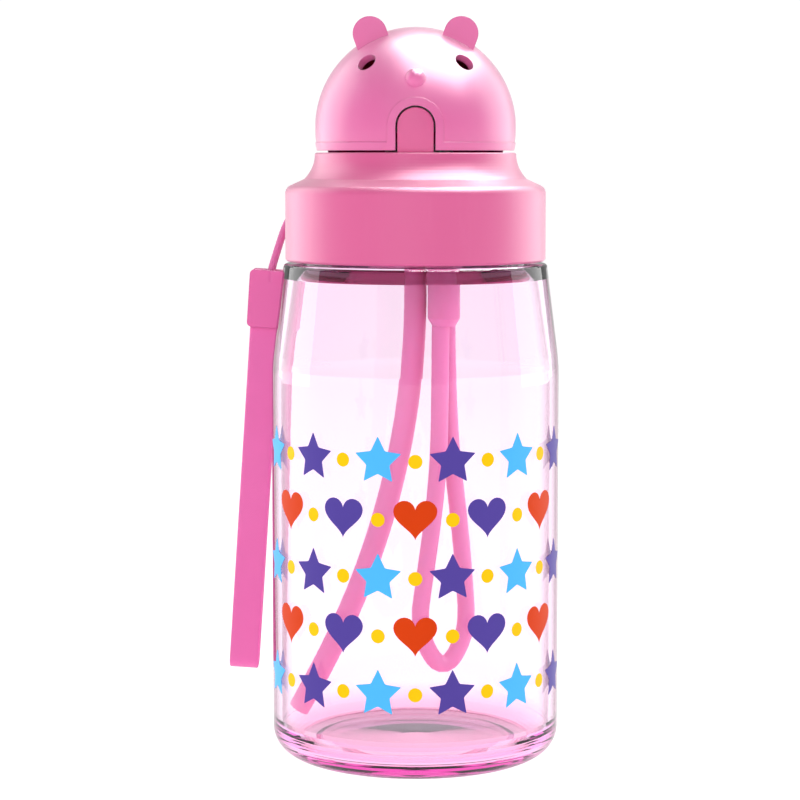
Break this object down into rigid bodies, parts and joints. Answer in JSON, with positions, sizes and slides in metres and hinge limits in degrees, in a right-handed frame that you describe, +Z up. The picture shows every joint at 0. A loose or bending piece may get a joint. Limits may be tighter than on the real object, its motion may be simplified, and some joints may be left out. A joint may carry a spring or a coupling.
{
  "type": "kids water bottle",
  "caption": "Clear kids water bottle with a screw cap, a swing-back animal dome over a folding spout, an inner straw and a wrist strap.",
  "frame": {"origin": "centre of the bottle's base, on the surface it stands on", "axes": "+Z up along the bottle's axis, -Y towards the front with the dome's face, +X to the right seen from the front"},
  "size_m": [0.0846, 0.072, 0.1843],
  "materials": {
    "clear_plastic": "clear pink-tinted copolyester, gloss",
    "cap_plastic": "pink polypropylene, satin gloss",
    "dome_plastic": "pink polypropylene, satin gloss",
    "seal_silicone": "milky silicone rubber",
    "tube_plastic": "pink soft plastic, satin",
    "spout_silicone": "translucent food silicone",
    "pin_plastic": "deep pink acetal, gloss",
    "strap_cord": "braided cord",
    "strap_plastic": "pink moulded plastic, satin",
    "pin_steel": "drawn steel pin",
    "strap_band": "pink soft strap band, satin"
  },
  "bodies": {
    "bottle": {"bottle_body": "clear_plastic"},
    "seal": {"cap_seal": "seal_silicone"},
    "lid": {"screw_cap": "cap_plastic", "lid_deck": "dome_plastic", "adapter_seal": "seal_silicone", "straw_adapter": "tube_plastic", "drinking_straw": "tube_plastic", "vent_connector": "tube_plastic", "vent_loop": "tube_plastic", "vent_valve": "seal_silicone", "spout_base": "spout_silicone", "pivot_pin_left": "pin_plastic", "pivot_pin_right": "pin_plastic"},
    "dome": {"dome_cover": "dome_plastic"},
    "spout": {"spout_tip": "spout_silicone"},
    "strap": {"strap_cord": "strap_cord", "strap_clip_front": "strap_plastic", "strap_clip_back": "strap_plastic", "clip_pin": "pin_steel", "strap_band": "strap_band"}
  },
  "joints": [
    {"name": "cap_lift", "type": "slide", "parent": "bottle", "child": "seal", "axis": [0, 0, 1], "range_m": [0, 0.006]},
    {"name": "cap_turn", "type": "hinge", "parent": "seal", "child": "lid", "pos_m": [0, 0, 0.14], "axis": [0, 0, 1], "range_deg": [0, 540]},
    {"name": "dome_hinge", "type": "hinge", "parent": "lid", "child": "dome", "pos_m": [0, 0, 0.1571], "axis": [-1, 0, 0], "range_deg": [0, 90]},
    {"name": "spout_fold", "type": "hinge", "parent": "lid", "child": "spout", "pos_m": [0, 0.004, 0.1575], "axis": [-1, 0, 0], "range_deg": [0, 50]},
    {"name": "strap_swing", "type": "hinge", "parent": "lid", "child": "strap", "pos_m": [-0.0304, 0.02, 0.1384], "axis": [0, 1, 0], "range_deg": [0, 100]}
  ],
  "couplings": [
    {"joint": "cap_lift", "follows": "cap_turn", "m_per_rad": 0.000636},
    {"joint": "spout_fold", "follows": "dome_hinge", "ratio": 0.555}
  ]
}
